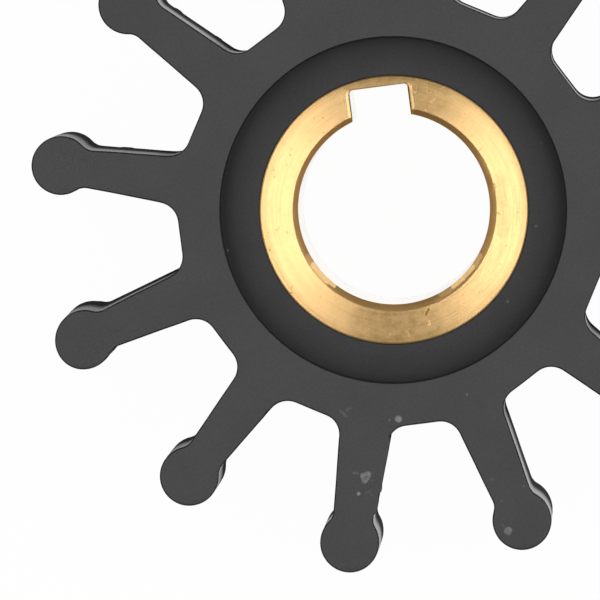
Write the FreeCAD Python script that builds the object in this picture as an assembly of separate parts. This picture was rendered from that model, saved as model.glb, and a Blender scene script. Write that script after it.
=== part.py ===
import FreeCAD, Part
import math
import os

# Flexible-vane pump impeller: a rubber hub with bulb-tipped vanes, moulded
# round a turned brass insert that has a through bore and one keyway.
#
# Frame: origin on the shaft axis in the lower end face, +Z along the shaft,
# +Y through the middle of the keyway. All sizes are in millimetres.

# Overall
length = 63.0               # rubber end face to rubber end face
tip_diameter = 95.3         # circle that the vane bulbs touch
vane_count = 12

# Brass insert
bore_diameter = 25.0        # shaft size
bore_chamfer = 0.8          # 45 degree lead-in at both mouths of the bore
insert_wall = 5.0           # bore to outside diameter
key_width = 8.0
key_depth = 3.4             # bore to the flat of the keyway, on its middle line
key_corner_radius = 0.5     # inner corners of the keyway
key_edge_break = 0.3        # deburred edges of the keyway in both end faces
groove_count = 3            # bonding grooves round the outside, filled by rubber
groove_width = 4.0          # at the groove's mouth
groove_depth = 0.6
groove_pitch = 14.0

# Rubber hub
recess_depth = 3.0          # both hub faces are sunk round the insert
recess_rim = 5.1            # insert to the side of the recess
hub_wall = 5.5              # side of the recess to the flats between the vanes

# Vanes
vane_root_thickness = 6.5   # at the hub flats
vane_tip_thickness = 5.1    # where the vane meets its bulb
bulb_diameter = 7.6
root_fillet = 2.8           # vane to hub flat
neck_fillet = 2.0           # vane to bulb

# Sizes that follow from those above
bore_radius = bore_diameter / 2
insert_radius = bore_radius + insert_wall
insert_bottom = recess_depth
insert_top = length - recess_depth
key_flat = bore_radius + key_depth
recess_radius = insert_radius + recess_rim
hub_flat = recess_radius + hub_wall
bulb_radius = bulb_diameter / 2
bulb_centre = tip_diameter / 2 - bulb_radius
vane_pitch = 360.0 / vane_count

# How far a cutting tool runs past the face that it cuts
overrun = 1.0

# Points nearer than this are the same point
same_place = 1e-6

AXIS = FreeCAD.Vector(0, 0, 1)
ORIGIN = FreeCAD.Vector(0, 0, 0)


def revolved(profile):
    """Solid of revolution round the shaft from (radius, height) corners."""
    corners = [FreeCAD.Vector(radius, 0, height) for radius, height in profile]
    wire = Part.makePolygon(corners + corners[:1])
    return Part.Face(wire).revolve(ORIGIN, AXIS, 360)


def prism(corners, bottom, top):
    """Straight solid from (x, y) corners, between two heights."""
    points = [FreeCAD.Vector(x, y, bottom) for x, y in corners]
    wire = Part.makePolygon(points + points[:1])
    return Part.Face(wire).extrude(FreeCAD.Vector(0, 0, top - bottom))


def middle_of(edge):
    """Point halfway along an edge."""
    return edge.valueAt((edge.FirstParameter + edge.LastParameter) / 2)


def axis_distance(edge):
    """Distance from the shaft axis to the middle of an edge."""
    middle = middle_of(edge)
    return math.hypot(middle.x, middle.y)


def runs_along_shaft(edge):
    """Whether an edge is a straight line parallel to the shaft."""
    box = edge.BoundBox
    return box.XLength < same_place and box.YLength < same_place


def insert_envelope():
    """Outside of the insert with its bonding grooves, before it is bored.

    The grooves are spaced evenly about mid-length. Their 45 degree flanks let
    the rubber flow to the floor and grip the brass along the shaft.
    """
    groove_radius = insert_radius - groove_depth
    half_mouth = groove_width / 2
    half_floor = half_mouth - groove_depth
    profile = [(0, insert_bottom), (insert_radius, insert_bottom)]
    for number in range(groove_count):
        middle = length / 2 + (number - (groove_count - 1) / 2) * groove_pitch
        profile += [
            (insert_radius, middle - half_mouth),
            (groove_radius, middle - half_floor),
            (groove_radius, middle + half_floor),
            (insert_radius, middle + half_mouth),
        ]
    profile += [(insert_radius, insert_top), (0, insert_top)]
    return revolved(profile)


def bore_tool():
    """Through bore that opens out into a chamfer at both end faces."""
    flare = bore_radius + bore_chamfer + overrun
    return revolved([
        (0, insert_bottom - overrun),
        (flare, insert_bottom - overrun),
        (bore_radius, insert_bottom + bore_chamfer),
        (bore_radius, insert_top - bore_chamfer),
        (flare, insert_top + overrun),
        (0, insert_top + overrun),
    ])


def keyway_tool():
    """Broached keyway: flat sides and flat, with small corner radii."""
    half = key_width / 2
    slot = prism(
        [(-half, 0), (half, 0), (half, key_flat), (-half, key_flat)],
        -overrun,
        length + overrun,
    )
    corners = [
        edge for edge in slot.Edges
        if runs_along_shaft(edge) and axis_distance(edge) > key_flat
    ]
    return slot.makeFillet(key_corner_radius, corners)


def keyway_mouth_edges(bush):
    """Edges of the keyway that lie in the insert's two end faces."""
    edges = []
    for edge in bush.Edges:
        middle = middle_of(edge)
        off_face = min(abs(middle.z - insert_bottom), abs(middle.z - insert_top))
        in_end_face = edge.BoundBox.ZLength < same_place and off_face < same_place
        beside_key = abs(middle.x) < key_width / 2 + same_place
        past_bore = bore_radius < middle.y < insert_radius - same_place
        if in_end_face and beside_key and past_bore:
            edges.append(edge)
    return edges


def brass_insert():
    """Turned bush with a chamfered bore and one broached keyway."""
    bush = insert_envelope().cut(bore_tool()).cut(keyway_tool())
    return bush.makeChamfer(key_edge_break, keyway_mouth_edges(bush))


def hub_blank():
    """Prism with one flat for each pocket between two vanes."""
    corner_distance = hub_flat / math.cos(math.radians(vane_pitch / 2))
    corners = []
    for number in range(vane_count):
        angle = math.radians((number + 0.5) * vane_pitch)
        corners.append((corner_distance * math.cos(angle), corner_distance * math.sin(angle)))
    return prism(corners, 0, length)


def vane():
    """One vane along +X: two tapered flanks that flow into a round bulb."""
    root = vane_root_thickness / 2
    tip = vane_tip_thickness / 2
    taper = (root - tip) / (bulb_centre - bulb_radius - hub_flat)
    inner = root + taper * (hub_flat - recess_radius)
    outer = tip - taper * bulb_radius
    flanks = prism(
        [(recess_radius, -inner), (bulb_centre, -outer), (bulb_centre, outer), (recess_radius, inner)],
        0,
        length,
    )
    bulb = Part.makeCylinder(bulb_radius, length, FreeCAD.Vector(bulb_centre, 0, 0))
    blank = flanks.fuse(bulb)
    necks = [
        edge for edge in blank.Edges
        if runs_along_shaft(edge) and hub_flat < axis_distance(edge) < bulb_centre
    ]
    return blank.makeFillet(neck_fillet, necks)


def vaned_star():
    """Hub and vanes as one moulding, with a fillet at both sides of each root."""
    single = vane()
    vanes = []
    for number in range(vane_count):
        turned = single.copy()
        turned.rotate(ORIGIN, AXIS, (number + 0.5) * vane_pitch)
        vanes.append(turned)
    star = hub_blank().fuse(vanes).removeSplitter()
    roots = [
        edge for edge in star.Edges
        if runs_along_shaft(edge) and axis_distance(edge) < (hub_flat + bulb_centre) / 2
    ]
    return star.makeFillet(root_fillet, roots)


def recess_tool(bottom, top):
    """Round disc that sinks one hub face between two heights."""
    return Part.makeCylinder(recess_radius, top - bottom, FreeCAD.Vector(0, 0, bottom))


def rubber_body():
    """The moulding: vaned star, moulded round the insert and recessed at both ends."""
    body = vaned_star().cut(insert_envelope())
    body = body.cut(recess_tool(-overrun, recess_depth))
    return body.cut(recess_tool(length - recess_depth, length + overrun))


os.makedirs("parts", exist_ok=True)

nodes = {
    "rubber_body": rubber_body(),
    "brass_insert": brass_insert(),
}
for name, shape in nodes.items():
    shape.exportStep("parts/" + name + ".step")
    print(name, len(shape.Solids), "solid,", round(shape.Volume / 1000, 2), "cm3, valid", shape.isValid())
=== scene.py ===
# %% [markdown]
# # Rubber pump impeller
#
# A flexible-vane impeller from a marine pump, seen along its shaft. It is two
# things bonded for life: a black rubber moulding with twelve bulb-tipped vanes,
# and a turned brass insert with a keyed bore.
#
# The imported model is loaded first, and every size comes from it or fits it.

# %% Load the imported model
import bmesh
import bpy
import math
from mathutils import Matrix, Vector, noise
from mathutils.geometry import tessellate_polygon


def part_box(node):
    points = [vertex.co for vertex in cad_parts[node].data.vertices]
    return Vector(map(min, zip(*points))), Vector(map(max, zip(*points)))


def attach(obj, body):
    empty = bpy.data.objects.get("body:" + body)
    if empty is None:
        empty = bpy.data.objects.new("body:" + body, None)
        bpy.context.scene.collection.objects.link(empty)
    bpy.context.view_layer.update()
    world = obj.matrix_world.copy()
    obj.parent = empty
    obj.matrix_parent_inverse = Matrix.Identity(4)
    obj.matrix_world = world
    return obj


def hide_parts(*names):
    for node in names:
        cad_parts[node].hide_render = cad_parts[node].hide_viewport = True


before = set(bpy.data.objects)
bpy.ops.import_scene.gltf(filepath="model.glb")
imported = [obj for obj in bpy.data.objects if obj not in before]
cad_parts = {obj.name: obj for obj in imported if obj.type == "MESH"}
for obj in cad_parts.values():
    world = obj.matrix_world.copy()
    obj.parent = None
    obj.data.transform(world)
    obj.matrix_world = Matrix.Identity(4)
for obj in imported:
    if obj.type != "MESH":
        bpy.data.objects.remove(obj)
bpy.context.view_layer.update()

MM = 0.001
moulding_low, moulding_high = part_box("rubber_body")
insert_low, insert_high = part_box("brass_insert")
MID_LENGTH = moulding_high.z / 2
print("rubber box in mm:", [round(v / MM, 2) for v in (*moulding_low, *moulding_high)])
print("brass box in mm:", [round(v / MM, 2) for v in (*insert_low, *insert_high)])

# %% [markdown]
# ## The view
#
# The impeller was photographed from high above with a long lens, so the far
# ends of its vanes are hardly smaller than the near ones. Lines along the shaft
# still run to one point of the picture, up and to the right of the hub. That is
# the point straight below the camera, and it decides which vane sides show.
#
# The camera could be turned and moved by eye. Here it is worked out instead
# from five things read off the picture: its scale, its turn, the hub, the point
# below the camera, and how much the far ends shrink, which gives the height.

# %% Camera
IMAGE_SIDE = 600
PIXELS_PER_MM = 7.68
HUB_PIXEL = (394.1, 209.9)
NADIR_PIXEL = (595.0, -78.0)
PICTURE_TURN = math.radians(7.4)
CAMERA_HEIGHT = 3.09
SENSOR_MM = 36.0


def on_upper_face(pixel):
    """Where a pixel of the picture lies on the upper rubber face, in the model's frame."""
    right = (pixel[0] - HUB_PIXEL[0]) / PIXELS_PER_MM * MM
    up = (HUB_PIXEL[1] - pixel[1]) / PIXELS_PER_MM * MM
    x = right * math.cos(PICTURE_TURN) + up * math.sin(PICTURE_TURN)
    y = up * math.cos(PICTURE_TURN) - right * math.sin(PICTURE_TURN)
    return Vector((x, y, moulding_high.z))


def aside(pixel):
    """Where a pixel lies beside the shaft's axis, as a flat vector."""
    return on_upper_face(pixel).to_2d()


def look_at(thing, target, top):
    """Turn a camera or lamp, which look along -Z, to a target with one side to the top."""
    back = (thing.location - target).normalized()
    right = top.cross(back).normalized()
    thing.rotation_euler = Matrix((right, back.cross(right), back)).transposed().to_euler()


def add_object(name, data):
    """New object in the scene."""
    made = bpy.data.objects.new(name, data)
    bpy.context.scene.collection.objects.link(made)
    return made


def add_camera():
    """Long-lens camera above the nadir point, aimed at the picture's middle."""
    data = bpy.data.cameras.new("long_lens")
    data.sensor_width = SENSOR_MM
    data.lens = CAMERA_HEIGHT / MM * PIXELS_PER_MM * SENSOR_MM / IMAGE_SIDE
    data.clip_end = 10.0
    camera = add_object("long_lens", data)
    camera.location = on_upper_face(NADIR_PIXEL) + Vector((0, 0, CAMERA_HEIGHT))
    picture_top = Vector((math.sin(PICTURE_TURN), math.cos(PICTURE_TURN), 0))
    look_at(camera, on_upper_face((IMAGE_SIDE / 2, IMAGE_SIDE / 2)), picture_top)
    bpy.context.scene.camera = camera
    print("lens", round(data.lens), "mm, camera", round(CAMERA_HEIGHT, 2), "m above the part")


add_camera()

# %% [markdown]
# ## Working with nodes
#
# The sky, the paper and both finishes are graphs of small nodes: a noise, a sum,
# a blend. They could be joined by hand in the shader editor. In code, every node
# takes several lines, so a few helpers make the common ones. Each takes plain
# numbers or the outputs of other nodes, and gives back an output.

# %% Node helpers
PER_MM = 1 / MM


def feed(tree, node, inputs):
    """Give inputs, by name or number, a fixed value or the output of another node."""
    for name, term in dict(inputs).items():
        if isinstance(term, bpy.types.NodeSocket):
            tree.links.new(term, node.inputs[name])
        else:
            node.inputs[name].default_value = term


def add_node(tree, kind, inputs=(), **settings):
    """New node with its settings and what goes into it."""
    made = tree.nodes.new("ShaderNode" + kind)
    for name, value in settings.items():
        setattr(made, name, value)
    feed(tree, made, inputs)
    return made


def calculate(tree, operation, *terms, clamp=False):
    """Math node; gives its result."""
    made = add_node(tree, "Math", enumerate(terms), operation=operation, use_clamp=clamp)
    return made.outputs["Value"]


def vector_math(tree, operation, *terms):
    """Vector Math node; gives a number for a length or dot product, or else a vector."""
    made = add_node(tree, "VectorMath", enumerate(terms), operation=operation)
    return made.outputs["Value" if operation in ("LENGTH", "DOT_PRODUCT") else "Vector"]


def scaled(tree, vector, factor):
    """A vector or colour times a number."""
    made = add_node(tree, "VectorMath", {0: vector, "Scale": factor}, operation="SCALE")
    return made.outputs["Vector"]


def ramp(tree, value, start, end, low=0.0, high=1.0, curve="SMOOTHSTEP"):
    """Value taken from low to high while the input goes from start to end."""
    limits = {"Value": value, "From Min": start, "From Max": end, "To Min": low, "To Max": high}
    return add_node(tree, "MapRange", limits, interpolation_type=curve).outputs["Result"]


def mix_values(tree, share, one, other):
    """Number between two numbers."""
    return add_node(tree, "Mix", {0: share, 2: one, 3: other}, data_type="FLOAT").outputs[0]


def mix_colours(tree, share, one, other):
    """Colour between two colours."""
    return add_node(tree, "Mix", {0: share, 6: one, 7: other}, data_type="RGBA").outputs[2]


def mix_shaders(tree, share, one, other):
    """Shader between two shaders."""
    return add_node(tree, "MixShader", {0: share, 1: one, 2: other}).outputs["Shader"]


def split_xyz(tree, vector):
    """X, Y and Z of a vector, as outputs."""
    return add_node(tree, "SeparateXYZ", {"Vector": vector}).outputs


def new_material(name):
    """Empty node material: its tree, its surface shader and the object's own coordinates."""
    material = bpy.data.materials.new(name)
    material.use_nodes = True
    tree = material.node_tree
    place = add_node(tree, "TexCoord").outputs["Object"]
    return material, tree, tree.nodes["Principled BSDF"], place


print("node helpers ready; one mm is", MM, "of a Blender unit")

# %% [markdown]
# ## Light
#
# The photograph was lit by two large soft lamps, left and right. The turned
# brass shows it: fine rings on a face mirror a lamp only where they run across
# its direction, so the face is bright at both sides and dull at top and bottom.
# The even grey of the rubber comes from soft light all round.
#
# So a dim sky, a little brighter at the upper right, gives the base level, and
# two area lamps add the rest. The lamps can't be seen by the camera, because
# other views turn round the part.

# %% Sky and lamps
SKY_LEVEL = 0.23
SKY_SLOPE = 0.18
BRIGHT_SIDE = 45
LAMP_DISTANCE = 0.6
LAMP_SIZE = (0.52, 0.30)
# name, direction in the picture and height above the horizon in degrees, radiant power
LAMPS = [
    ("left_softbox", 178, 66, 1.7),
    ("right_softbox", 2, 66, 1.7),
]


def picture_direction(degrees, elevation):
    """Unit vector towards a direction of the picture, raised above the horizon."""
    turn = math.radians(degrees) - PICTURE_TURN
    rise = math.radians(elevation)
    return Vector((math.cos(turn) * math.cos(rise), math.sin(turn) * math.cos(rise), math.sin(rise)))


def add_sky():
    """Soft sky, brightest on one side; the camera itself sees it as white."""
    world = bpy.data.worlds.new("sky")
    world.use_nodes = True
    tree = world.node_tree
    sky = tree.nodes["Background"]
    backdrop = add_node(tree, "Background")
    for background in (sky, backdrop):
        feed(tree, background, {"Color": (1, 1, 1, 1)})
    ray = add_node(tree, "TexCoord").outputs["Generated"]
    facing = vector_math(tree, "DOT_PRODUCT", ray, picture_direction(BRIGHT_SIDE, 0))
    feed(tree, sky, {"Strength": calculate(tree, "MULTIPLY_ADD", facing, SKY_SLOPE, SKY_LEVEL)})
    seen = add_node(tree, "LightPath").outputs["Is Camera Ray"]
    shown = mix_shaders(tree, seen, sky.outputs["Background"], backdrop.outputs["Background"])
    feed(tree, tree.nodes["World Output"], {"Surface": shown})
    bpy.context.scene.world = world


def add_lamp(name, degrees, elevation, power):
    """Large soft lamp aimed at the hub."""
    data = bpy.data.lights.new(name, "AREA")
    data.shape = "RECTANGLE"
    data.size, data.size_y = LAMP_SIZE
    data.energy = power
    lamp = add_object(name, data)
    lamp.location = picture_direction(degrees, elevation) * LAMP_DISTANCE
    lamp.location.z += moulding_high.z
    look_at(lamp, Vector((0, 0, moulding_high.z)), Vector((0, 0, 1)))
    lamp.visible_camera = False


add_sky()
for lamp in LAMPS:
    add_lamp(*lamp)
bpy.context.scene.view_settings.view_transform = "Standard"
print("sky", SKY_LEVEL, "and", len(LAMPS), "lamps")

# %% [markdown]
# ## Floor
#
# The part stands on white paper. If more light made the paper white, the brass
# would burn out too. So the paper glows by itself for the camera, and a small
# share of real paint stays in it and keeps the part's soft shadow.
#
# The smooth vane sides mirror the paper: bright where it lies open, dark near
# their feet, and darkest deep between two vanes and on the side away from the
# light. The glow would hide all that. So what the part mirrors is dimmed by the
# same three things, and only under the bore it stays bright and lights the wall.

# %% Paper
PAPER_SIDE = 4.0
PAPER_WHITE = (0.86, 0.86, 0.86, 1)
PAPER_ROUGHNESS = 0.9
PAPER_GLOSS = 0.1
PAPER_GLOW = 0.98
# how long a mirrored ray is to shaded and to open paper, and how bright each is
SHADED_LENGTH = 22 * MM
OPEN_LENGTH = 55 * MM
MIRRORED_GLOW = 0.94
MIRRORED_SHADE = 0.07
# from the shaft to the foot and the mouth of the pocket between two vanes
POCKET_FOOT = 29.5 * MM
POCKET_MOUTH = 34.5 * MM
POCKET_SHADE = 0.06
BORE_LIGHT_RADIUS = 17 * MM
# the lighter side as a direction of the picture, and how the light falls off from it
LIT_SIDE = 15
LIT_SIDE_LEVEL = 1.12
LIT_SIDE_SLOPE = 0.63


def mirrored_paper(tree, place, ray_length):
    """How bright the paper is where the part mirrors it."""
    in_open = ramp(tree, ray_length, SHADED_LENGTH, OPEN_LENGTH, MIRRORED_SHADE, MIRRORED_GLOW)
    from_shaft = vector_math(tree, "LENGTH", place)
    out_of_pocket = ramp(tree, from_shaft, POCKET_FOOT, POCKET_MOUTH, POCKET_SHADE, 1.0, "LINEAR")
    outward = vector_math(tree, "NORMALIZE", place)
    to_lit_side = vector_math(tree, "DOT_PRODUCT", outward, picture_direction(LIT_SIDE, 0))
    side_light = calculate(tree, "MULTIPLY_ADD", to_lit_side, LIT_SIDE_SLOPE, LIT_SIDE_LEVEL, clamp=True)
    lit = calculate(tree, "MULTIPLY", in_open, out_of_pocket)
    lit = calculate(tree, "MULTIPLY", lit, side_light)
    under_bore = calculate(tree, "LESS_THAN", from_shaft, BORE_LIGHT_RADIUS)
    return calculate(tree, "MAXIMUM", lit, under_bore)


def add_paper():
    """Pale floor that renders white and keeps a faint shadow."""
    half = PAPER_SIDE / 2
    corners = [(-half, -half, 0), (half, -half, 0), (half, half, 0), (-half, half, 0)]
    mesh = bpy.data.meshes.new("paper")
    mesh.from_pydata(corners, [], [(0, 1, 2, 3)])
    paper = add_object("paper", mesh)
    material, tree, paint, place = new_material("white_paper")
    feed(tree, paint, {
        "Base Color": PAPER_WHITE, "Roughness": PAPER_ROUGHNESS, "Specular IOR Level": PAPER_GLOSS})
    path = add_node(tree, "LightPath")
    mirrored = path.outputs["Is Glossy Ray"]
    brightness = mirrored_paper(tree, place, path.outputs["Ray Length"])
    glow = add_node(tree, "Emission", {"Strength": mix_values(tree, mirrored, 1.0, brightness)})
    share = calculate(tree, "MULTIPLY_ADD", path.outputs["Is Camera Ray"], PAPER_GLOW, mirrored)
    shown = mix_shaders(tree, share, paint.outputs["BSDF"], glow.outputs["Emission"])
    feed(tree, tree.nodes["Material Output"], {"Surface": shown})
    mesh.materials.append(material)


add_paper()
print("paper", PAPER_SIDE, "m wide")

# %% [markdown]
# ## Outline of the moulding
#
# Seen along the shaft, the moulding is one closed line: twelve flats on the hub
# and twelve vanes, each with two fillets at its root, two tapered flanks, two
# fillets at its neck and a round bulb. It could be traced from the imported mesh,
# but then its rounding would be as coarse as that mesh.
#
# It is worked out afresh instead, from straight lines and arcs that touch. Each
# point also keeps the direction that faces away from the rubber, so that the
# whole line can be drawn in or out by any amount when the edges are rounded.

# %% Outline points
VANES = 12
BULB_RADIUS = 3.85 * MM
HUB_FLAT = 28.1 * MM
ROOT_HALF = 3.25 * MM
TIP_HALF = 2.55 * MM
ROOT_FILLET = 2.8 * MM
NECK_FILLET = 2.0 * MM
HALF_PITCH = math.pi / VANES
WOBBLE_ROOM = 0.025 * MM
BULB_CENTRE = (moulding_high.x - WOBBLE_ROOM - BULB_RADIUS) / math.cos(HALF_PITCH)

BULB_STEPS = 22
FILLET_STEPS = 8
FLANK_STEPS = 40
FLAT_STEPS = 3


def arc(centre, radius, start, end, steps, hollow=False):
    """Points from one angle to another, each with the direction out of the rubber."""
    points = []
    for step in range(steps + 1):
        angle = start + (end - start) * step / steps
        ray = Vector((math.cos(angle), math.sin(angle)))
        points.append((centre + ray * radius, -ray if hollow else ray))
    return points


def straight(start, end, steps, outward):
    """Points strictly between two ends of a straight stretch."""
    return [(start.lerp(end, step / steps), outward) for step in range(1, steps)]


def half_vane():
    """Outline from the tip of a vane on +X to the middle of the hub flat beside it."""
    bulb = Vector((BULB_CENTRE, 0))
    taper = (ROOT_HALF - TIP_HALF) / (BULB_CENTRE - BULB_RADIUS - HUB_FLAT)
    off_flank = Vector((taper, 1)).normalized()
    along = Vector((1, -taper)).normalized()
    off_flat = Vector((math.cos(HALF_PITCH), math.sin(HALF_PITCH)))
    flank = off_flank.dot(Vector((HUB_FLAT, ROOT_HALF)))

    reach = BULB_RADIUS + NECK_FILLET
    rise = flank + NECK_FILLET - off_flank.dot(bulb)
    neck = bulb + off_flank * rise - along * math.sqrt(reach ** 2 - rise ** 2)
    root_side = flank + ROOT_FILLET
    root_floor = HUB_FLAT + ROOT_FILLET
    root = Matrix((off_flank, off_flat)).inverted() @ Vector((root_side, root_floor))

    to_neck = (neck - bulb).normalized()
    bulb_end = math.atan2(to_neck.y, to_neck.x)
    flank_angle = math.atan2(-off_flank.y, -off_flank.x)
    flat_angle = math.atan2(-off_flat.y, -off_flat.x)
    neck_foot = neck - off_flank * NECK_FILLET
    root_foot = root - off_flank * ROOT_FILLET
    flat_foot = root - off_flat * ROOT_FILLET
    flat_middle = off_flat * HUB_FLAT
    return (
        arc(bulb, BULB_RADIUS, 0, bulb_end, BULB_STEPS)
        + arc(neck, NECK_FILLET, bulb_end - math.pi, flank_angle, FILLET_STEPS, hollow=True)[1:]
        + straight(neck_foot, root_foot, FLANK_STEPS, off_flank)
        + arc(root, ROOT_FILLET, flank_angle, flat_angle, FILLET_STEPS, hollow=True)
        + straight(flat_foot, flat_middle, FLAT_STEPS, off_flat)
        + [(flat_middle, off_flat)]
    )


def vane_turn(number):
    """Direction of a vane, from +X towards +Y."""
    return (number + 0.5) * 2 * HALF_PITCH


def moulding_outline():
    """Closed outline: (point, outward direction, vane number, reach along that vane)."""
    half = half_vane()
    mirror = [(Vector((p.x, -p.y)), Vector((n.x, -n.y))) for p, n in half]
    one = mirror[:0:-1] + half[:-1]
    outline = []
    for number in range(VANES):
        turn = Matrix.Rotation(vane_turn(number), 2)
        for point, outward in one:
            outline.append((turn @ point, turn @ outward, number, point.x))
    return outline


outline = moulding_outline()
print(len(outline), "outline points; bulb centres at", round(BULB_CENTRE / MM, 2), "mm")

# %% [markdown]
# ## Small differences between the vanes
#
# No two vanes of a real impeller are quite alike. Rubber comes out of its mould
# a little bent, and shreds of flash are left where the mould halves met. Here
# one vane leans at its upper end, three are a little thicker or thinner than
# the rest, and a few edges carry nicks and shreds.
#
# These could be a random wobble alone, but the picture shows where the larger
# ones are. So tables give those, and a very weak smooth noise adds the rest.

# %% Lean, wobble and flash
LEANING_VANE = 6
LEAN = 0.26 * MM
STRAY_LEAN = 0.05 * MM
WOBBLE = 0.035 * MM
WOBBLE_SPAN = 4.0 * MM
WOBBLE_STRETCH = 3
# x and y of one or both ends in the picture, edge, reach and how far it stands out (mm)
FLASH = [
    (388, 442, 376.2, 511, "upper", 0.6, 0.38),
    (377.3, 488, 377.1, 489, "upper", 0.5, 0.10),
    (376.6, 494, 376.3, 496, "upper", 0.4, -0.14),
    (113.0, 350.5, "upper", 0.6, 0.12),
    (104.5, 302.5, 177, 270.5, "lower", 0.9, 0.15),
    (267.5, 413.5, "upper", 0.5, -0.12),
    (125.5, 148.3, 129.5, 148.7, "lower", 0.7, 0.10),
    (179.0, 10.0, "lower", 0.7, 0.14),
    (219.0, 38.0, "lower", 0.6, 0.08),
    (480.0, 426.0, "upper", 0.4, 0.06),
]
FLASH_HEIGHT = 1.0 * MM
# vane number: how much each flank stands out (mm)
THICKER = {5: -0.05, 8: 0.09, 9: 0.05}


def thicker(number, reach):
    """How far a thicker vane's flank stands out, fading out into root and bulb."""
    from_root = (reach - HUB_FLAT) / ROOT_FILLET
    from_bulb = (BULB_CENTRE - reach) / BULB_RADIUS
    return THICKER.get(number, 0.0) * MM * min(1, max(0, from_root)) * min(1, max(0, from_bulb))


def leaned(number, reach, height):
    """How far a vane is bent sideways at a distance along it and a height."""
    bend = max(0.0, (reach - HUB_FLAT) / (BULB_CENTRE - HUB_FLAT)) ** 2
    if number == LEANING_VANE:
        return LEAN * bend * height / moulding_high.z
    stray = noise.noise(Vector((number * 3.7, 0.5, height / (2 * moulding_high.z))))
    return STRAY_LEAN * bend * stray


def stood_out(point, height):
    """How far the rubber stands out at an outline point: smooth wobble, flash and nicks."""
    spot = Vector((point.x, point.y, height / WOBBLE_STRETCH)) / WOBBLE_SPAN
    out = WOBBLE * noise.noise(spot)
    for *ends, edge, span, amount in FLASH:
        level = moulding_high.z if edge == "upper" else 0.0
        up = abs(height - level) / FLASH_HEIGHT
        if up >= 1:
            continue
        start, end = aside(ends[:2]), aside(ends[-2:])
        if edge == "lower":
            start, end = seen_at_floor(start), seen_at_floor(end)
        away = distance_to_line(point, start, end) / (span * MM)
        if away < 1:
            out += amount * MM * min(1, 2 - 2 * away) * (1 - up)
    return out


def distance_to_line(point, start, end):
    """Distance from a point to the line between two ends."""
    along = end - start
    share = (point - start).dot(along) / max(along.length_squared, 1e-12)
    return (point - start - along * min(1, max(0, share))).length


def seen_at_floor(point):
    """Where the camera's ray through a point of the upper face meets the floor."""
    camera = bpy.context.scene.camera.location
    ray = Vector((point.x, point.y, moulding_high.z)) - camera
    return (camera + ray * (camera.z / -ray.z)).to_2d()


print("vane", LEANING_VANE, "leans by", round(LEAN / MM, 2), "mm;", len(FLASH), "shreds and nicks")

# %% [markdown]
# ## The moulding
#
# The rubber body is one closed skin. Its outside is the vaned outline, drawn up
# the shaft. Both end faces are flat, with a round recess, and inside it grips
# the brass, right into the three grooves that hold it.
#
# Boolean cuts could make it, but they leave ragged triangles along the edges.
# Here loops of points are stacked and bridged with quads. Loops drawn inwards
# at both ends round the edges, and only the flat end faces are filled by the
# triangulator. Bonded faces follow the brass, so nothing is hollow.

# %% Loops and bridges
RING_POINTS = 240
ROUND_STEPS = 4


def add_loop(vertices, points):
    """Append a closed loop of points; returns its vertex numbers."""
    first = len(vertices)
    vertices.extend(points)
    return range(first, len(vertices))


def bridge(faces, one, other):
    """Quads between two loops that have the same number of points."""
    for here in range(len(one)):
        there = (here + 1) % len(one)
        faces.append((one[here], one[there], other[there], other[here]))


def ring(radius, height):
    """Circle of points round the shaft."""
    step = 2 * math.pi / RING_POINTS
    return [
        Vector((radius * math.cos(i * step), radius * math.sin(i * step), height))
        for i in range(RING_POINTS)
    ]


def quarter_round(radius, steps=ROUND_STEPS):
    """(inward, downward) offsets of a rounded edge, from the flat face to the side."""
    turns = [math.pi / 2 * step / steps for step in range(steps + 1)]
    return [(radius * (1 - math.sin(turn)), radius * (1 - math.cos(turn))) for turn in turns]


def smooth_piece(name, vertices, faces):
    """Mesh object with outward faces and smooth shading that keeps flat faces flat."""
    mesh = bpy.data.meshes.new(name)
    mesh.from_pydata([tuple(v) for v in vertices], [], faces)
    shape = bmesh.new()
    shape.from_mesh(mesh)
    bmesh.ops.recalc_face_normals(shape, faces=shape.faces)
    open_edges = [edge for edge in shape.edges if not edge.is_manifold]
    shape.to_mesh(mesh)
    shape.free()
    mesh.shade_smooth()
    piece = add_object(name, mesh)
    weighted = piece.modifiers.new("flat_faces", "WEIGHTED_NORMAL")
    weighted.mode = "FACE_AREA"
    print(name, len(mesh.vertices), "vertices,", len(mesh.polygons), "faces,",
          len(open_edges), "open edges")
    return piece


print("a full ring has", RING_POINTS, "points")

# %% [markdown]
# The bond line is where rubber meets brass. Both pieces take its shape from one
# function, so that the rubber fills the grooves exactly.

# %% Bond line
INSERT_RADIUS = 17.5 * MM
GROOVE_DEPTH = 0.6 * MM
GROOVE_MOUTH = 4.0 * MM
GROOVE_PITCH = 14.0 * MM
GROOVES = 3


def bond_line(gap):
    """(radius, height) corners of the grooved bond, from the top down, a gap off the brass."""
    line = []
    for number in reversed(range(GROOVES)):
        middle = MID_LENGTH + (number - (GROOVES - 1) / 2) * GROOVE_PITCH
        half = GROOVE_MOUTH / 2
        for side in (1, -1):
            mouth = (INSERT_RADIUS + gap, middle + side * half)
            floor = (INSERT_RADIUS + gap - GROOVE_DEPTH, middle + side * (half - GROOVE_DEPTH))
            line += [mouth, floor] if side == 1 else [floor, mouth]
    return line


print("bond line has", len(bond_line(0)), "corners")

# %% [markdown]
# ## The rubber body
#
# From the flat face inwards, the skin goes over the rim of the recess, down its
# side, across its floor and into the fine crevice that rubber leaves round the
# brass. In the picture, neither the recess nor the crevice is quite in the middle.
# So their loops are shifted by a hair, and all the others stay centred.

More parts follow.
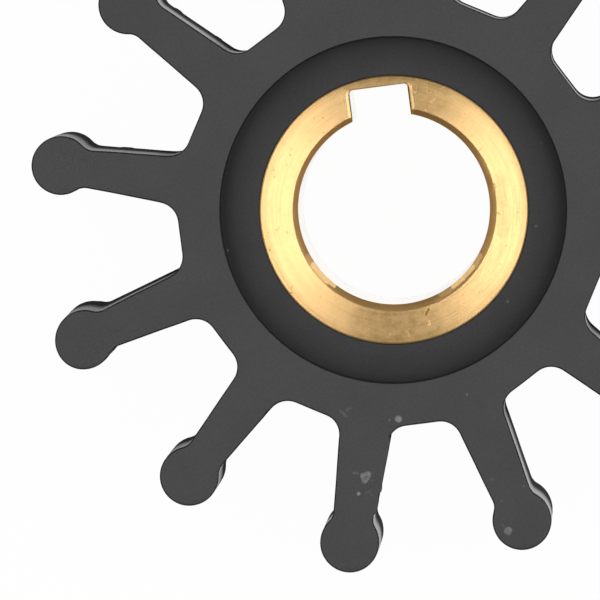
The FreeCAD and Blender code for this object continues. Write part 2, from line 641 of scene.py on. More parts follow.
# %% Rubber body
RIM_ROUND = 0.25 * MM
RECESS_RADIUS = 22.6 * MM
RECESS_RIM_ROUND = 0.1 * MM
RECESS_FOOT_ROUND = 0.4 * MM
RECESS_FLOOR = insert_high.z
CREVICE_WIDTH = 0.12 * MM
CREVICE_DEPTH = 0.22 * MM
LIP_WIDTH = 0.12 * MM
LIP_DEPTH = 0.06 * MM
FLOOR_LOOP = 2.5 * MM
SAME_RING = 1 * MM
BOND_GAP = 0.003 * MM
SIDE_LEVELS = 14
# middle of the recess, and of the brass and its crevice, in the picture
RECESS_PIXEL = (393.2, 210.0)
EDGE_PIXEL = (393.7, 210.1)


def outline_loop(height, drawn_in):
    """The outline at one height, drawn in for a rounded edge, with this part's small faults."""
    points = []
    for point, outward, number, reach in outline:
        turn = vane_turn(number)
        across = Vector((-math.sin(turn), math.cos(turn)))
        place = point + across * leaned(number, reach, height)
        place += outward * (stood_out(point, height) + thicker(number, reach) - drawn_in)
        points.append(Vector((place.x, place.y, height)))
    return points


def outside_levels():
    """(height, inward offset) pairs from the lower end face to the upper one."""
    top = moulding_high.z
    edge = quarter_round(RIM_ROUND)
    lower = [(down, inward) for inward, down in edge]
    upper = [(top - down, inward) for inward, down in reversed(edge)]
    side_low, side_high = FLASH_HEIGHT, top - FLASH_HEIGHT
    middle = [
        (side_low + (side_high - side_low) * step / SIDE_LEVELS, 0.0)
        for step in range(SIDE_LEVELS + 1)
    ]
    return lower + middle + upper


def recess_line():
    """(radius, depth) from the flat end face, down the recess and its floor, to the brass."""
    depth = moulding_high.z - RECESS_FLOOR
    rim = [(RECESS_RADIUS + inward, down) for inward, down in quarter_round(RECESS_RIM_ROUND)]
    foot = []
    for inward, down in quarter_round(RECESS_FOOT_ROUND):
        foot.append((RECESS_RADIUS - down, depth - inward))
    lip = INSERT_RADIUS + CREVICE_WIDTH
    return rim + foot + [
        (RECESS_RADIUS - FLOOR_LOOP, depth),
        (lip + LIP_WIDTH, depth),
        (lip, depth + LIP_DEPTH),
        (INSERT_RADIUS + BOND_GAP, depth + CREVICE_DEPTH),
    ]


def off_centre(radius, height):
    """How far the upper recess, and the crevice round the brass, lie off the shaft's axis."""
    at_upper_end = height > RECESS_FLOOR - 1.5 * CREVICE_DEPTH
    if at_upper_end and radius > RECESS_RADIUS - SAME_RING:
        return aside(RECESS_PIXEL).to_3d()
    if at_upper_end and radius < INSERT_RADIUS + SAME_RING:
        return aside(EDGE_PIXEL).to_3d()
    return Vector((0, 0, 0))


def rubber_body():
    """The moulding as one closed skin."""
    vertices, faces = [], []
    outside = [add_loop(vertices, outline_loop(*level)) for level in outside_levels()]
    top = moulding_high.z
    inside_line = [(radius, top - depth) for radius, depth in recess_line()]
    inside_line += bond_line(BOND_GAP)
    inside_line += [(radius, depth) for radius, depth in reversed(recess_line())]
    inside = []
    for radius, height in inside_line:
        shift = off_centre(radius, height)
        inside.append(add_loop(vertices, [p + shift for p in ring(radius, height)]))
    for loops in (outside, inside):
        for one, other in zip(loops, loops[1:]):
            bridge(faces, one, other)
    for outer, inner in ((outside[0], inside[-1]), (outside[-1], inside[0])):
        numbers = [*outer, *inner]
        rims = [[vertices[i] for i in outer], [vertices[i] for i in inner]]
        for triangle in tessellate_polygon(rims):
            faces.append(tuple(numbers[i] for i in triangle))
    return smooth_piece("rubber_moulding", vertices, faces)


rubber = rubber_body()

# %% [markdown]
# ## The brass insert
#
# The insert is a bush turned from bar, then broached for its key. Its bore has
# a chamfer, and the sharp edges of the keyway were broken with a file. In the
# face, a tool mark runs round just inside the edge, and years of shafts going
# in have dented the mouth of the bore.
#
# All of it is made of loops once more. Each loop of the bore goes once round
# the keyed outline with the same number of points, so that chamfer, broken
# edges and straight wall are bridged one after another.

# %% Keyed bore
BORE_RADIUS = 12.5 * MM
BORE_CHAMFER = 0.8 * MM
KEY_HALF = 3.84 * MM
KEY_FLAT = 16.08 * MM
KEY_CORNER = 0.5 * MM
KEY_BREAK = 0.42 * MM
KEY_BREAK_DEPTH = 0.13 * MM
KEY_ASIDE = -0.07 * MM
BORE_STEPS = 216
SIDE_STEPS = 10
CORNER_STEPS = 5
KEY_FLAT_STEPS = 12


def keyed_outline(radius, half, flat, corner):
    """Bore and keyway as one closed outline, anticlockwise from the key's right side."""
    mouth = math.sqrt(radius ** 2 - half ** 2)
    right = [Vector((half, mouth + (flat - corner - mouth) * i / SIDE_STEPS))
             for i in range(SIDE_STEPS)]
    centre = Vector((half - corner, flat - corner))
    bend = [point for point, _ in arc(centre, corner, 0, math.pi / 2, CORNER_STEPS)]
    flat_run = [Vector(((half - corner) * (1 - 2 * i / KEY_FLAT_STEPS), flat))
                for i in range(1, KEY_FLAT_STEPS // 2)]
    quarter = right + bend + flat_run
    left = [Vector((-point.x, point.y)) for point in reversed(quarter)]
    start = math.atan2(mouth, -half)
    sweep = 2 * math.pi - 2 * (start - math.pi / 2)
    bore = []
    for i in range(1, BORE_STEPS):
        angle = start + sweep * i / BORE_STEPS
        bore.append(Vector((radius * math.cos(angle), radius * math.sin(angle))))
    key = quarter + [Vector((0, flat))] + left[:-1] + [Vector((-half, mouth))]
    return [point + Vector((KEY_ASIDE, 0)) for point in key] + bore


print(len(keyed_outline(BORE_RADIUS, KEY_HALF, KEY_FLAT, KEY_CORNER)), "points round the keyed bore")

# %% [markdown]
# ## Bush and worn mouth
#
# Like the recess, the bore and its worn mouth are a hair off centre, each by its
# own amount. The dents are a table of places from the picture, and they open
# only the loops at the mouth. Beside each sharp edge lies a second loop, so that
# smooth shading doesn't blur the edge over the whole face.

# %% Brass bush
FACE_EDGE_ROUND = 0.22 * MM
FACE_EDGE_STEPS = 2
TOOL_MARK_RADIUS = 17.02 * MM
TOOL_MARK_HALF = 0.06 * MM
TOOL_MARK_DEPTH = 0.03 * MM
BRASS_GAP = -0.002 * MM
BORE_LEVELS = 8
BELOW_CHAMFER = 0.4 * MM
SOFT_EDGE = 0.05 * MM
FACE_MARGIN = 0.22 * MM
# picture pixel, width of the dent (mm), depth (mm), for the dented mouth of the bore
DENTS = [
    ((487.0, 161.0), 0.9, 0.14),
    ((492.0, 172.0), 0.7, 0.12),
    ((495.5, 190.0), 0.6, 0.10),
    ((311.5, 266.0), 1.2, 0.08),
    ((440.0, 303.0), 1.0, 0.10),
    ((478.0, 279.0), 0.8, 0.08),
]
MOUTH_LOOPS = (1, 2, 3)
MOUTH_WOBBLE = 0.03 * MM
MOUTH_WOBBLE_SPAN = 1.2 * MM
# middle of the bore, and of its worn mouth, in the picture
BORE_PIXEL = (393.8, 208.8)
MOUTH_PIXEL = (394.5, 209.6)


def mouth_wear(point):
    """How far the worn mouth of the bore has opened at a point of its edge."""
    worn = MOUTH_WOBBLE * noise.noise(Vector((point.x, point.y, 1)) / MOUTH_WOBBLE_SPAN)
    for pixel, width, depth in DENTS:
        away = (point - aside(pixel)).length / (width * MM)
        if away < 1:
            worn += depth * MM * (1 - away)
    return worn


def bore_line():
    """(depth, radius, key half width, key flat, corner) of each loop from the face inwards."""
    flare = BORE_RADIUS + BORE_CHAMFER
    key = (KEY_HALF, KEY_FLAT, KEY_CORNER)
    broken_key = (KEY_HALF + KEY_BREAK, KEY_FLAT + KEY_BREAK / 4, KEY_CORNER + KEY_BREAK / 2)
    edges = [
        (0, flare, *broken_key),
        (KEY_BREAK_DEPTH, flare - KEY_BREAK_DEPTH, *key),
        (BORE_CHAMFER, BORE_RADIUS, *key),
        (BORE_CHAMFER + BELOW_CHAMFER, BORE_RADIUS, *key),
    ]
    rows = [(0, *(size + margin for size in edges[0][1:])) for margin in (FACE_MARGIN, SOFT_EDGE)]
    for number in range(len(edges) - 1):
        if number:
            rows.append(towards(edges[number], edges[number - 1], SOFT_EDGE))
        rows.append(towards(edges[number], edges[number + 1], SOFT_EDGE))
    return rows + [edges[-1]]


def towards(row, other, distance):
    """The row moved a little way towards another row."""
    reach = math.hypot(other[0] - row[0], other[1] - row[1])
    share = distance / reach
    return tuple(a + (b - a) * share for a, b in zip(row, other))


def bore_levels(low, high):
    """(height, sizes) of every loop of the bore, from the upper face to the lower one."""
    line = bore_line()
    deepest, *sizes = line[-1]
    wall = high - low - 2 * deepest
    levels = [(high - depth, row) for depth, *row in line]
    for step in range(1, BORE_LEVELS):
        levels.append((high - deepest - wall * step / BORE_LEVELS, sizes))
    return levels + [(low + depth, row) for depth, *row in reversed(line)]


def brass_bush():
    """The insert as one closed skin."""
    vertices, faces = [], []
    low, high = insert_low.z, insert_high.z
    loops = []
    levels = bore_levels(low, high)
    for number, (height, sizes) in enumerate(levels):
        shift = aside(MOUTH_PIXEL).lerp(aside(BORE_PIXEL), min(1, (high - height) / BORE_CHAMFER))
        from_end = min(number, len(levels) - 1 - number)
        points = []
        for point in keyed_outline(*sizes):
            point += shift
            if from_end in MOUTH_LOOPS:
                point += point.normalized() * mouth_wear(point)
            points.append(Vector((*point, height)))
        loops.append(add_loop(vertices, points))
    rays = [Vector((vertices[i].x, vertices[i].y)).normalized() for i in loops[0]]

    def circle(radius, height):
        return add_loop(vertices, [Vector((*(ray * radius), height)) for ray in rays])

    edge = quarter_round(FACE_EDGE_ROUND, FACE_EDGE_STEPS)
    face = [
        (TOOL_MARK_RADIUS - TOOL_MARK_HALF, 0),
        (TOOL_MARK_RADIUS, TOOL_MARK_DEPTH),
        (TOOL_MARK_RADIUS + TOOL_MARK_HALF, 0),
    ] + [(INSERT_RADIUS + BRASS_GAP - inward, down) for inward, down in edge]
    outside = []
    for radius, down in face:
        outside.append(circle(radius, high - down))
        for number in outside[-1]:
            vertices[number] += aside(EDGE_PIXEL).to_3d()
    outside += [circle(*corner) for corner in bond_line(BRASS_GAP)]
    outside += [circle(radius, low + down) for radius, down in reversed(face)]
    skin = loops[::-1] + outside
    for one, other in zip(skin, skin[1:] + skin[:1]):
        bridge(faces, one, other)
    return smooth_piece("brass_bush", vertices, faces)


brass = brass_bush()

# %% [markdown]
# ## Marks and masks
#
# A splash or a stain could be painted on an image, but that needs unwrapping and
# is only as sharp as its pixels. Here each mark is a short line between two
# places of the picture, with a half width and a strength. Noise pushes the
# coordinates about first, so that no mark has a clean edge.
#
# The finishes also ask where a point is: how high, how far from mid-length, and
# how far from the shaft.

# %% Marks and masks
MARK_STARTS, MARK_FULL = 1.2, 0.6
RELIEF_HEIGHT = 0.02 * MM


def noise_of(tree, place, scale, detail=2.0, roughness=0.5, output="Fac"):
    """Smooth noise, with a scale in bumps to the metre."""
    settings = {"Vector": place, "Scale": scale, "Detail": detail, "Roughness": roughness}
    return add_node(tree, "TexNoise", settings).outputs[output]


def laid_flat(tree, place):
    """Coordinates without their height."""
    return vector_math(tree, "MULTIPLY", place, (1, 1, 0))


def whereabouts(tree, place):
    """Height of a point, how far it is from mid-length, and how far from the shaft's axis."""
    height = split_xyz(tree, place)["Z"]
    off_middle = calculate(tree, "ABSOLUTE", calculate(tree, "SUBTRACT", height, MID_LENGTH))
    return height, off_middle, vector_math(tree, "LENGTH", laid_flat(tree, place))


def near_face(tree, height, face, deep, shallow):
    """0 more than `deep` mm below a face, and 1 from `shallow` mm below it upwards."""
    return ramp(tree, height, face - deep * MM, face - shallow * MM)


def shaken(tree, place, scale, reach):
    """Coordinates pushed about a little and laid flat."""
    wobble = noise_of(tree, place, scale, output="Color")
    push = vector_math(tree, "MULTIPLY_ADD", wobble, (reach,) * 3, (-reach / 2,) * 3)
    return laid_flat(tree, vector_math(tree, "ADD", place, push))


def marks_mask(tree, flat_place, marks, upper_side=1.0):
    """How much any mark of a table covers a point."""
    covered = 0.0
    for *ends, width, strength in marks:
        start, end = aside(ends[:2]).to_3d(), aside(ends[-2:]).to_3d()
        length = (end - start).length
        away = vector_math(tree, "SUBTRACT", flat_place, start)
        if length > 0:
            along = (end - start).normalized()
            travelled = vector_math(tree, "DOT_PRODUCT", away, along)
            kept = calculate(tree, "MINIMUM", calculate(tree, "MAXIMUM", travelled, 0.0), length)
            away = vector_math(tree, "SUBTRACT", away, scaled(tree, along, kept))
        distance = vector_math(tree, "LENGTH", away)
        edge = (width * MM * MARK_STARTS, width * MM * MARK_FULL)
        covered = calculate(tree, "MAXIMUM", ramp(tree, distance, *edge, 0, strength), covered)
    return calculate(tree, "MULTIPLY", covered, upper_side)


def added_up(tree, weighted, total=0.0):
    """Sum of values, each times its weight."""
    for value, weight in weighted:
        total = calculate(tree, "MULTIPLY_ADD", value, weight, total)
    return total


def times(tree, *terms):
    """Product of several values."""
    product, *rest = terms
    for term in rest:
        product = calculate(tree, "MULTIPLY", product, term)
    return product


def add_bump(tree, surface, relief, strength):
    """Let a relief tilt the light on a surface."""
    bump = {"Strength": strength, "Distance": RELIEF_HEIGHT, "Height": relief}
    feed(tree, surface, {"Normal": add_node(tree, "Bump", bump).outputs["Normal"]})


print("a mark fades out at", MARK_STARTS, "times its half width")

# %% [markdown]
# ## What has dried on the rubber
#
# Grease and talc left pale spots and smears on the upper face. Each was read off
# the picture. In two places the rubber shows through, and one speck is dark.

# %% Splashes
# x and y of one or both ends in the picture, half width (mm) and strength of each dried splash
SPLASHES = [
    (363, 475.8, 368.2, 474.6, 0.40, 0.62),
    (368.2, 475.5, 364.6, 480.6, 0.40, 0.60),
    (363, 475.8, 364.6, 480.6, 0.36, 0.62),
    (354, 473.4, 357.8, 473.4, 0.16, 0.22),
    (371.5, 474, 373, 473, 0.12, 0.14),
    (371, 480.5, 373, 481.5, 0.14, 0.12),
    (358.9, 493.6, 0.26, 0.85),
    (366, 493, 371, 491.5, 0.16, 0.12),
    (370, 494, 373, 496, 0.14, 0.08),
    (340.5, 410.8, 346, 416, 0.20, 0.16),
    (347, 409.5, 350.5, 408.3, 0.20, 0.14),
    (398, 418.6, 399.4, 419, 0.42, 0.72),
    (398.8, 419, 398.8, 420.8, 0.28, 0.72),
    (389.3, 420, 389.3, 420.3, 0.17, 0.28),
    (508.4, 530.9, 0.54, 0.58),
    (501.5, 524, 506, 528, 0.10, 0.12),
    (466.9, 394.5, 0.16, 0.40),
    (491.5, 479.2, 492, 479.2, 0.20, 0.12),
    (524, 486, 524.2, 486, 0.18, 0.16),
    (501.7, 501.2, 0.16, 0.18),
    (541.3, 143.3, 0.18, 0.10),
    (536.3, 226.5, 0.18, 0.22),
    (507.8, 301.5, 0.18, 0.28),
    (227.3, 250.5, 0.18, 0.30),
]
# places where the rubber shows through a splash, and one dark speck, in the same way
BARE_SPOTS = [
    (365.2, 477.2, 367.5, 477, 0.18, 0.55),
    (366, 477.5, 365.4, 479.5, 0.14, 0.50),
]
DARK_SPOTS = [
    (293.5, 92.5, 294.5, 93, 0.18, 0.6),
]
print(len(SPLASHES), "splashes and", len(DARK_SPOTS), "dark speck")

# %% [markdown]
# ## Black rubber
#
# The end faces were ground flat, which leaves a dead even, slightly paler grey.
# The sides are as they left the mould: darker and smoother. The recess is dull,
# and its colour is darkened towards its foot as painted shade. A few dried
# splashes of grease and talc sit on top.
#
# Materials with a hard border would show at the rounded edge. So it is one
# material with masks. How far a point is below an end face tells ground rubber
# from moulded, the tilt of the skin finds the rounded rim, which is painted
# darker as painted shade, and the distance from the shaft finds the recess.

# %% Rubber finish
GROUND_GREY = (0.034, 0.0335, 0.034, 1)
MOULDED_GREY = (0.028, 0.028, 0.029, 1)
SPLASH_GREY = (0.24, 0.24, 0.25, 1)
# painted shade along the rounded rim of each end face; also the colour of the real dark speck
RIM_SHADE_AND_SPECK_BLACK = (0.017, 0.010, 0.011, 1)
GROUND_ROUGHNESS = 0.6
SIDE_ROUGHNESS = 0.24
RIM_ROUGHNESS = 0.35
RECESS_ROUGHNESS = 0.75
# painted shade in the recess: its colour is scaled from the first level at the brass to the second at
# the foot
RECESS_PAINTED_SHADE_INNER = 1.05
RECESS_PAINTED_SHADE_FOOT = 0.5
RUBBER_IOR = 1.45
RUBBER_RELIEF = 0.35


def rubber_masks(tree, place):
    """Where the rubber is ground, where its rounded rim is, and where the recess."""
    height, off_middle, from_shaft = whereabouts(tree, place)
    ground = near_face(tree, off_middle, MID_LENGTH, 0.12, 0.01)
    upright = split_xyz(tree, add_node(tree, "NewGeometry").outputs["Normal"])["Z"]
    tilted = ramp(tree, calculate(tree, "ABSOLUTE", upright), 0.99, 0.92)
    rim = times(tree, near_face(tree, off_middle, MID_LENGTH, 0.3, 0.25), tilted)
    in_recess = ramp(tree, from_shaft, RECESS_RADIUS + 0.2 * MM, RECESS_RADIUS + 0.1 * MM)
    return height, from_shaft, ground, rim, in_recess


def rubber_splashes(tree, place, height):
    """Dried splashes of the upper side, and its dark speck."""
    upper = near_face(tree, height, RECESS_FLOOR, 0.2, 0.1)
    marked_place = shaken(tree, place, 2.2 * PER_MM, 0.3 * MM)
    covered = calculate(tree, "SUBTRACT", 1.0, marks_mask(tree, marked_place, BARE_SPOTS))
    thickness = ramp(tree, noise_of(tree, place, 1.6 * PER_MM), 0.35, 0.62, 0.65, 1.0)
    splashes = times(tree, marks_mask(tree, marked_place, SPLASHES, upper), covered, thickness)
    return splashes, marks_mask(tree, marked_place, DARK_SPOTS, upper)


def rubber_finish():
    """Ground end faces, moulded sides and recess, and dried splashes."""
    material, tree, surface, place = new_material("black_rubber")
    height, from_shaft, ground, rim, in_recess = rubber_masks(tree, place)
    splashes, specks = rubber_splashes(tree, place, height)

    grain = noise_of(tree, place, 2.7 * PER_MM)
    speckle = ramp(tree, grain, 0.3, 0.7, 0.90, 1.10)
    shade = ramp(tree, noise_of(tree, place, 0.15 * PER_MM, detail=3), 0.3, 0.7, 0.94, 1.06)
    # painted shade: the recess's colour darkens towards the foot of its side
    shade_to_foot = ramp(tree, from_shaft, INSERT_RADIUS, RECESS_RADIUS, RECESS_PAINTED_SHADE_INNER, RECESS_PAINTED_SHADE_FOOT)
    recess_painted_shade = mix_values(tree, ground, mix_values(tree, in_recess, 1.0, shade_to_foot), 1.0)
    colour = mix_colours(tree, ground, MOULDED_GREY, GROUND_GREY)
    # painted shade: the rounded rim is coloured darker
    colour = mix_colours(tree, rim, colour, RIM_SHADE_AND_SPECK_BLACK)
    colour = scaled(tree, colour, times(tree, shade, recess_painted_shade, speckle))
    colour = mix_colours(tree, specks, colour, RIM_SHADE_AND_SPECK_BLACK)
    colour = mix_colours(tree, splashes, colour, SPLASH_GREY)

    rough = mix_values(tree, in_recess, SIDE_ROUGHNESS, RECESS_ROUGHNESS)
    rough = mix_values(tree, ground, rough, GROUND_ROUGHNESS)
    rough = mix_values(tree, rim, rough, RIM_ROUGHNESS)
    feed(tree, surface, {"Base Color": colour, "Roughness": rough, "IOR": RUBBER_IOR})
    relief = added_up(tree, [(noise_of(tree, place, 0.9 * PER_MM), 0.5), (grain, 0.12)])
    add_bump(tree, surface, times(tree, relief, ground), RUBBER_RELIEF)
    return material


rubber.data.materials.append(rubber_finish())
print("rubber roughness", SIDE_ROUGHNESS, "on the sides,", GROUND_ROUGHNESS, "where it was ground")

# %% [markdown]
# ## Wear, painted shade and painted highlights on the brass
#
# There are bright nicks, brown spots, sectors at top and bottom darkened by
# mottled tarnish and painted shade, brighter patches on the chamfer that are
# painted highlights, and a side that is scratched more than the rest. All were
# read off the picture, like the splashes.

# %% Marks on the brass
# bright nicks, given like the splashes above
BRIGHT_MARKS = [
    (429, 321.5, 429.3, 325, 0.13, 0.7),
    (362.5, 333.5, 369.5, 330, 0.12, 0.25),
    (380, 329.5, 384, 331.5, 0.20, 0.25),
    (387, 338, 390.5, 334, 0.14, 0.22),
    (407.5, 332, 409.5, 337.5, 0.10, 0.25),
    (431, 102, 434.5, 99, 0.12, 0.45),
    (441, 88.5, 444, 87.5, 0.10, 0.3),
    (498.3, 207, 499, 209.5, 0.16, 0.6),
    (452, 96.5, 459, 99, 0.12, 0.2),
    (437, 323, 438, 321, 0.12, 0.25),
]
# brown spots and the fine dark line beside the chamfer
BROWN_MARKS = [
    (426, 314.8, 428.4, 310, 0.24, 1),
    (424.6, 316, 425.4, 315.4, 0.14, 0.5),
    (276.5, 265, 280, 270.5, 0.14, 0.35),
    (313.8, 118.5, 0.16, 0.35),
    (339.5, 104.5, 341, 103.5, 0.12, 0.25),
    (479, 151, 481.5, 148.5, 0.10, 0.3),
    (484.5, 165, 488, 172, 0.16, 0.5),
    (494, 184, 495.5, 188, 0.14, 0.5),
    (497, 213, 499.5, 214.5, 0.12, 0.6),
    (500, 264, 501, 265.5, 0.12, 0.25),
    (478, 294, 482.5, 290.5, 0.10, 0.35),
    (504, 202.5, 505.5, 201, 0.10, 0.3),
    (418, 88, 425, 91, 0.25, 0.35),
    (455, 92, 470, 102, 0.30, 0.30),
    (372, 83.5, 392, 80, 0.22, 0.35),
    (264.4, 223, 265.5, 230, 0.10, 0.3),
    (330, 278.5, 345, 288, 0.10, 0.3),
    (491, 250, 481, 269, 0.09, 0.32),
    (481, 269, 472.7, 280, 0.09, 0.40),
    (472.7, 280, 461.8, 290, 0.09, 0.38),
    (461.8, 290, 450.9, 297.3, 0.09, 0.30),
    (442, 303.5, 449, 300.5, 0.12, 0.3),
]
# mottled tarnish and painted shade: the dim sectors at top and bottom, and two darker strips
TARNISH_AND_SHADE_SECTORS = [
    (420, 96, 436, 99, 2.4, 0.54),
    (436, 99, 450, 105, 2.2, 0.20),
    (368, 324, 425, 325, 2.8, 0.60),
    (425, 325, 444, 319, 2.4, 0.22),
    (383, 325, 400, 325, 2.8, 0.82),
    (350, 85, 408, 78.5, 1, 0.55),
    (499, 180, 502, 232, 0.9, 0.30),
]
# painted highlights: brighter, rougher patches on the chamfer
CHAMFER_HIGHLIGHTS = [
    (314.2, 265.8, 327, 280.6, 0.54, 1),
    (327, 280.6, 334, 286, 0.30, 0.9),
    (308.5, 257, 313.5, 265, 0.45, 0.22),
    (472.5, 267, 462.5, 278.5, 0.36, 0.75),
    (462.5, 278.5, 453, 286.8, 0.36, 0.9),
    (479.5, 256, 474.5, 264.5, 0.40, 0.30),
    (449, 290.5, 441, 294.8, 0.40, 0.25),
]
# the side of the face that is scratched most
SCRATCHED_SECTORS = [
    (430, 320, 487, 283, 2.4, 0.7),
    (487, 283, 508, 235, 2.4, 1),
    (508, 235, 508, 180, 2.4, 0.9),
    (460, 105, 425, 95, 2.4, 0.5),
]
print(len(BRIGHT_MARKS), "bright nicks and", len(BROWN_MARKS), "brown marks")

# %% [markdown]
# ## Turned brass
#
# The face was cut by a lathe tool, which leaves rings finer than a hair. Across
# the rings, light is spread widely. Along them, it hardly is. That is why two
# bright sectors stand opposite each other. In the dim sectors between them, the
# colour is darkened by mottled tarnish and painted shade. The chamfer is coloured
# a darker brown as painted shade, with brighter patches as painted highlights.
# The outer edge is stained, and one side is scratched along the rings. The bore
# is smooth, and its colour is paler as a painted reflection.
#
# Modelling every ring would need millions of faces. The shader's anisotropy
# does the same for light, with its direction turned round the shaft. Noise drawn
# out along the rings gives the streaks and scratches, and a fine bump the few
# coarser rings. A coat, like a film of old oil, lies on the end faces alone.

# %% Brass finish
BRASS_YELLOW = (0.875, 0.565, 0.245, 1)
# painted reflection: the bore's colour is paler, so that what it mirrors looks whiter
BORE_REFLECTION_YELLOW = (0.93, 0.79, 0.50, 1)
# painted shade: the chamfer's darker brown stands in for the dim bore that it mirrors
CHAMFER_SHADE_BROWN = (0.64, 0.39, 0.15, 1)
# colour of the painted highlights on the chamfer
CHAMFER_HIGHLIGHT_YELLOW = (1.0, 0.74, 0.38, 1)
# brown of tarnish, also used as painted shade in the dim sectors
TARNISH_AND_SHADE_BROWN = (0.34, 0.205, 0.055, 1)
FACE_ROUGHNESS = 0.42
BORE_ROUGHNESS = 0.04
CHAMFER_HIGHLIGHT_ROUGHNESS = 0.75
ANISOTROPY = 0.8
QUARTER_TURN = 0.25
OIL_FILM = 0.35
OIL_ROUGHNESS = 0.35
BRASS_RELIEF = 0.75
CHAMFER_OUTSIDE = BORE_RADIUS + BORE_CHAMFER
OUTER_STAIN_START = 16.2 * MM
OUTER_STAIN_END = INSERT_RADIUS - 0.4 * MM
OUTER_STAIN = 0.22
# pitch of the coarser rings; width of a streak or scratch, and how often it breaks off on its way round
RING_PITCH = 0.22 * MM
STREAK_WIDTH = 0.28 * MM
STREAKS_ROUND = 6
SCRATCH_WIDTH = 0.20 * MM
SCRATCHES_ROUND = 22


def turned_streaks(tree, place, from_shaft, width, streaks_round):
    """Noise drawn out along the rings that the lathe tool left."""
    ray = split_xyz(tree, vector_math(tree, "NORMALIZE", place))
    bent = {axis: times(tree, ray[axis], streaks_round) for axis in ("X", "Y")}
    bent["Z"] = calculate(tree, "DIVIDE", from_shaft, width)
    return noise_of(tree, add_node(tree, "CombineXYZ", bent).outputs["Vector"], 1.0, roughness=0.6)


def turned_rings(tree, from_shaft):
    """The coarser rings, as noise that changes only with the distance from the shaft."""
    outwards = add_node(tree, "CombineXYZ", {"X": from_shaft}).outputs["Vector"]
    return noise_of(tree, outwards, 1 / RING_PITCH, detail=3, roughness=0.6)


def small_pits(tree, place):
    """Small round pits, in a few patches only."""
    dots = add_node(tree, "TexVoronoi", {"Vector": place, "Scale": 1.1 * PER_MM}).outputs["Distance"]
    patches = ramp(tree, noise_of(tree, place, 0.5 * PER_MM, detail=1), 0.50, 0.62)
    return times(tree, ramp(tree, dots, 0.22, 0.10), patches)


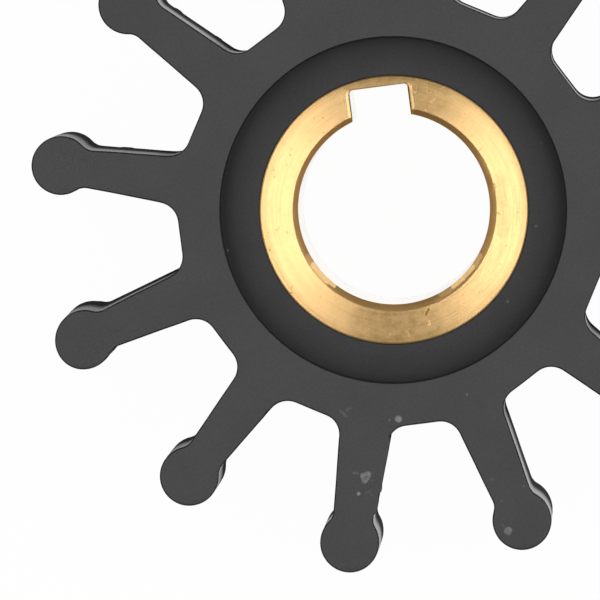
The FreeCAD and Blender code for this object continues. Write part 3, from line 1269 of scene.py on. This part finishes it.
def brass_finish():
    """Turned faces, smooth bore, tarnish, painted shade and highlights, pits and scratches."""
    material, tree, surface, place = new_material("turned_brass")
    height, off_middle, from_shaft = whereabouts(tree, place)
    face = insert_high.z - MID_LENGTH
    turned = near_face(tree, off_middle, face, 0.05, 0.01)
    outer_end = near_face(tree, off_middle, face, 1.1, 0.85)
    inside_flare = ramp(tree, from_shaft, CHAMFER_OUTSIDE + 0.03 * MM, CHAMFER_OUTSIDE - 0.03 * MM)
    in_chamfer = times(tree, near_face(tree, off_middle, face, 0.86, 0.78), inside_flare)

    upper = near_face(tree, height, insert_high.z, 1.2, 1.0)
    marked_place = shaken(tree, place, 1.5 * PER_MM, 0.25 * MM)
    bright, brown, tarnish_and_shade, chamfer_highlight, scratched = (
        marks_mask(tree, marked_place, marks, upper)
        for marks in (BRIGHT_MARKS, BROWN_MARKS, TARNISH_AND_SHADE_SECTORS, CHAMFER_HIGHLIGHTS, SCRATCHED_SECTORS)
    )
    scratches = turned_streaks(tree, place, from_shaft, SCRATCH_WIDTH, SCRATCHES_ROUND)
    scratches = times(tree, scratched, ramp(tree, scratches, 0.48, 0.70))
    streaks = turned_streaks(tree, place, from_shaft, STREAK_WIDTH, STREAKS_ROUND)
    clouds = noise_of(tree, place, 0.25 * PER_MM, detail=4, roughness=0.6)
    smears = noise_of(tree, place, 1.4 * PER_MM, detail=4, roughness=0.65)
    mottle = noise_of(tree, place, 0.9 * PER_MM, detail=4, roughness=0.7)
    mottle = ramp(tree, mottle, 0.35, 0.65, 0.5, 1.0)
    pits = small_pits(tree, place)

    # tarnish, with painted shade added in the dim sectors at top and bottom
    stain_and_shade = added_up(tree, [
        (ramp(tree, clouds, 0.42, 0.72), 0.07),
        (ramp(tree, smears, 0.50, 0.72), 0.13),
        (ramp(tree, streaks, 0.45, 0.75), 0.17),
        (ramp(tree, from_shaft, OUTER_STAIN_START, OUTER_STAIN_END), OUTER_STAIN),
        # painted shade with mottled tarnish in the dim sectors
        (times(tree, tarnish_and_shade, mottle), 0.72),
        (scratches, 0.20),
        (pits, 0.3),
    ])
    stain_and_shade = calculate(tree, "MAXIMUM", stain_and_shade, brown, clamp=True)
    stain_and_shade = times(tree, stain_and_shade, calculate(tree, "SUBTRACT", 1.0, bright))
    # painted shade on the chamfer, except where its highlights are painted
    painted_chamfer_shade = times(tree, in_chamfer, calculate(tree, "SUBTRACT", 1.0, chamfer_highlight))
    # painted highlights on the chamfer
    painted_chamfer_highlight = times(tree, in_chamfer, chamfer_highlight)
    # the bore takes the paler colour of its painted reflection
    colour = mix_colours(tree, outer_end, BORE_REFLECTION_YELLOW, BRASS_YELLOW)
    colour = mix_colours(tree, stain_and_shade, colour, TARNISH_AND_SHADE_BROWN)
    colour = mix_colours(tree, painted_chamfer_shade, colour, CHAMFER_SHADE_BROWN)
    colour = mix_colours(tree, painted_chamfer_highlight, colour, CHAMFER_HIGHLIGHT_YELLOW)

    rough = calculate(tree, "MULTIPLY_ADD", outer_end, FACE_ROUGHNESS - BORE_ROUGHNESS, BORE_ROUGHNESS)
    rough = calculate(tree, "MULTIPLY_ADD", stain_and_shade, 0.1, rough)
    feed(tree, surface, {
        "Base Color": colour,
        "Metallic": 1.0,
        "Roughness": mix_values(tree, painted_chamfer_highlight, rough, CHAMFER_HIGHLIGHT_ROUGHNESS),
        "Anisotropic": ANISOTROPY,
        "Anisotropic Rotation": QUARTER_TURN,
        "Tangent": add_node(tree, "Tangent", direction_type="RADIAL", axis="Z").outputs["Tangent"],
        "Coat Weight": times(tree, outer_end, OIL_FILM),
        "Coat Roughness": OIL_ROUGHNESS,
    })

    relief = added_up(tree, [
        (turned_rings(tree, from_shaft), turned),
        (smears, 0.8),
        (pits, -1.5),
        (streaks, 0.8),
        (scratches, -0.5),
        (bright, 1.5),
        (brown, -1.5),
    ])
    add_bump(tree, surface, times(tree, relief, outer_end), BRASS_RELIEF)
    return material


brass.data.materials.append(brass_finish())
print("brass roughness", FACE_ROUGHNESS, "on the face,", BORE_ROUGHNESS, "in the bore")

# %% [markdown]
# ## Into the frame
#
# Each piece stands for one solid of the imported model and moves with its body.

# %% Hand over
for piece, solid, finish in (
    (rubber, "rubber_body", "black_rubber"),
    (brass, "brass_insert", "turned_brass"),
):
    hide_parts(solid)
    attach(piece, "root")
